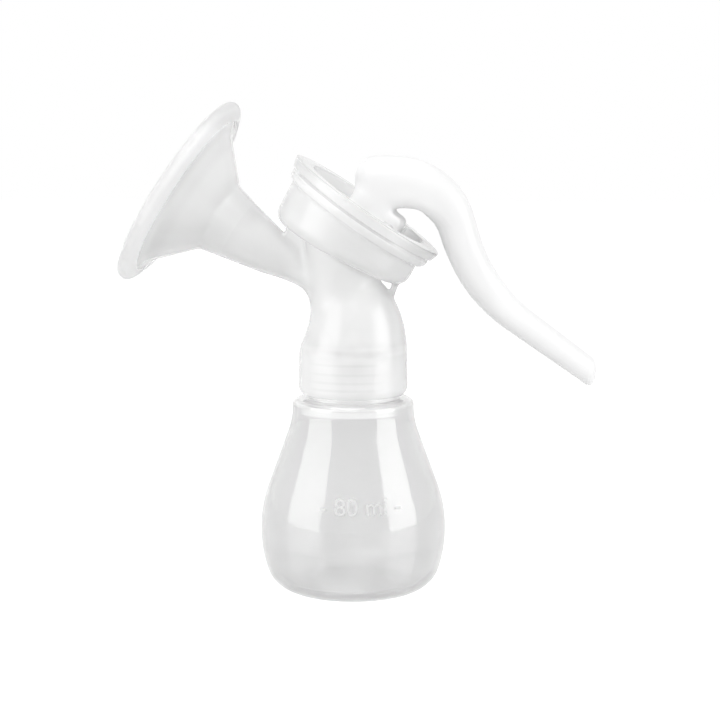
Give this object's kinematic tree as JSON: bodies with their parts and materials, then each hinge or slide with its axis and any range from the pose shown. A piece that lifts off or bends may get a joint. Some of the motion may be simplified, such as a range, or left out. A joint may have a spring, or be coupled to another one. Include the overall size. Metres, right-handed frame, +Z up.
{
  "type": "manual breast pump",
  "caption": "Hand-operated breast pump: a translucent body with a soft-lined funnel and a lever-driven diaphragm, screwed onto a rounded milk bottle.",
  "frame": {"origin": "middle of the bottle's foot, on the surface it stands on", "axes": "+Z up along the bottle's axis, -X towards the funnel's horn, +X towards the handle, Y across the plane of symmetry"},
  "size_m": [0.175, 0.0768, 0.1796],
  "materials": {
    "bottle_plastic": "translucent, smooth moulded gloss",
    "body_plastic": "translucent, slightly milky, smooth moulded",
    "silicone": "soft, milky, satin",
    "white_plastic": "opaque white, soft gloss"
  },
  "bodies": {
    "bottle": {"bottle": "bottle_plastic"},
    "neck_seal": {"bottle_seal": "silicone"},
    "pump": {"pump_body": "body_plastic", "funnel_liner": "silicone", "duckbill_valve": "silicone", "diaphragm": "silicone", "cap_ring": "body_plastic"},
    "stem": {"pull_stem": "white_plastic"},
    "lever": {"handle": "white_plastic", "hinge_pin": "white_plastic", "link_pin": "white_plastic"}
  },
  "joints": [
    {"name": "neck_lift", "type": "slide", "parent": "bottle", "child": "neck_seal", "axis": [0, 0, 1], "range_m": [0, 0.005]},
    {"name": "neck_turn", "type": "hinge", "parent": "neck_seal", "child": "pump", "pos_m": [0, 0, 0.0863], "axis": [0, 0, 1], "range_deg": [0, 540]},
    {"name": "handle_squeeze", "type": "hinge", "parent": "pump", "child": "lever", "pos_m": [0.01394, 0, 0.13363], "axis": [0, 1, 0], "range_deg": [0, 15.4], "stiffness_Nm_per_rad": 1.5, "springref_deg": -4.58},
    {"name": "stem_pull", "type": "slide", "parent": "pump", "child": "stem", "axis": [0.5736, 0, 0.8192], "range_m": [0, 0.0034], "deforming": ["diaphragm"]}
  ],
  "couplings": [
    {"joint": "neck_lift", "follows": "neck_turn", "m_per_rad": 0.0005093},
    {"joint": "stem_pull", "follows": "handle_squeeze", "m_per_rad": 0.01196}
  ]
}
